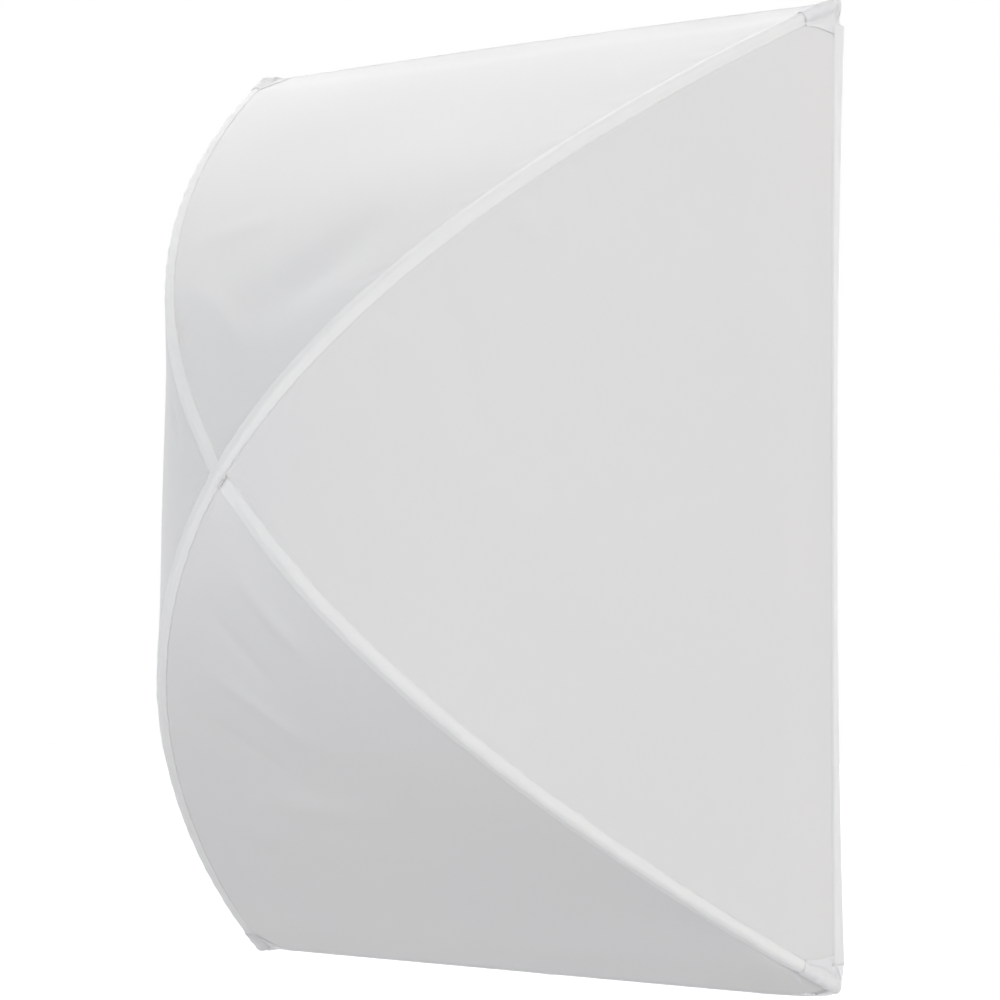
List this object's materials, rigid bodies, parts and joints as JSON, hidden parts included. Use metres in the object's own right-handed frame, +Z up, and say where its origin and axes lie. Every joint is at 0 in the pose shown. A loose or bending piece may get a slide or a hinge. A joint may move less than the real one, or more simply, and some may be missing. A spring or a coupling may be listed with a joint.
{
  "type": "dome softbox",
  "caption": "Collapsible white cloth dome softbox, sprung by crossed fibreglass poles, with an elastic opening that fits over a panel light.",
  "frame": {"origin": "centre of the fixture opening, on the rear face of the cloth rim", "axes": "+X to the right, +Z up along the long side, +Y backwards to the light; the dome points along -Y"},
  "size_m": [0.7686, 0.5539, 1.0182],
  "materials": {
    "diffusion_cloth": "matt white woven nylon diffusion",
    "sleeve_cloth": "doubled white nylon with stitched edges",
    "reinforcement_cloth": "heavy white webbing and cloth",
    "rim_cloth": "matt white nylon",
    "binding_tape": "ribbed white binding tape",
    "elastic": "braided white cover on rubber",
    "fibreglass": "smooth pale fibreglass",
    "ferrule_steel": "plated steel",
    "tip_plastic": "black moulded plastic",
    "tab_webbing": "white webbing",
    "loop_fastener": "brushed loop pile"
  },
  "bodies": {
    "softbox": {"bottom_panel": "diffusion_cloth", "corner_pocket_bottom_left": "reinforcement_cloth", "corner_pocket_bottom_right": "reinforcement_cloth", "corner_pocket_top_left": "reinforcement_cloth", "corner_pocket_top_right": "reinforcement_cloth", "crossing_backing": "reinforcement_cloth", "crossing_patch": "reinforcement_cloth", "edge_band_bottom": "rim_cloth", "edge_band_left": "rim_cloth", "edge_band_right": "rim_cloth", "edge_band_top": "rim_cloth", "left_panel": "diffusion_cloth", "lower_pole_ferrules": "ferrule_steel", "lower_pole_section_1": "fibreglass", "lower_pole_section_2": "fibreglass", "lower_pole_section_3": "fibreglass", "lower_pole_shock_cord": "elastic", "lower_pole_tips": "tip_plastic", "opening_binding": "binding_tape", "opening_elastic": "elastic", "rear_rim_bottom": "rim_cloth", "rear_rim_left": "rim_cloth", "rear_rim_right": "rim_cloth", "rear_rim_top": "rim_cloth", "right_panel": "diffusion_cloth", "sleeve_bottom_left": "sleeve_cloth", "sleeve_bottom_right": "sleeve_cloth", "sleeve_top_left": "sleeve_cloth", "sleeve_top_right": "sleeve_cloth", "tab_anchor_bottom_left": "binding_tape", "tab_anchor_bottom_right": "binding_tape", "tab_anchor_top_left": "binding_tape", "tab_anchor_top_right": "binding_tape", "tab_pad_bottom_left": "loop_fastener", "tab_pad_bottom_right": "loop_fastener", "tab_pad_top_left": "loop_fastener", "tab_pad_top_right": "loop_fastener", "top_panel": "diffusion_cloth", "upper_pole_ferrules": "ferrule_steel", "upper_pole_section_1": "fibreglass", "upper_pole_section_2": "fibreglass", "upper_pole_section_3": "fibreglass", "upper_pole_shock_cord": "elastic", "upper_pole_tips": "tip_plastic"},
    "tab_top_left": {"fixture_tab_top_left": "tab_webbing"},
    "tab_top_right": {"fixture_tab_top_right": "tab_webbing"},
    "tab_bottom_left": {"fixture_tab_bottom_left": "tab_webbing"},
    "tab_bottom_right": {"fixture_tab_bottom_right": "tab_webbing"}
  },
  "joints": [
    {"name": "tab_top_left_fold", "type": "hinge", "parent": "softbox", "child": "tab_top_left", "pos_m": [-0.296, 0.003, 0.3], "axis": [0, 0, -1], "range_deg": [0, 175]},
    {"name": "tab_top_right_fold", "type": "hinge", "parent": "softbox", "child": "tab_top_right", "pos_m": [0.296, 0.003, 0.3], "axis": [0, 0, 1], "range_deg": [0, 175]},
    {"name": "tab_bottom_left_fold", "type": "hinge", "parent": "softbox", "child": "tab_bottom_left", "pos_m": [-0.296, 0.003, -0.3], "axis": [0, 0, -1], "range_deg": [0, 175]},
    {"name": "tab_bottom_right_fold", "type": "hinge", "parent": "softbox", "child": "tab_bottom_right", "pos_m": [0.296, 0.003, -0.3], "axis": [0, 0, 1], "range_deg": [0, 175]}
  ]
}
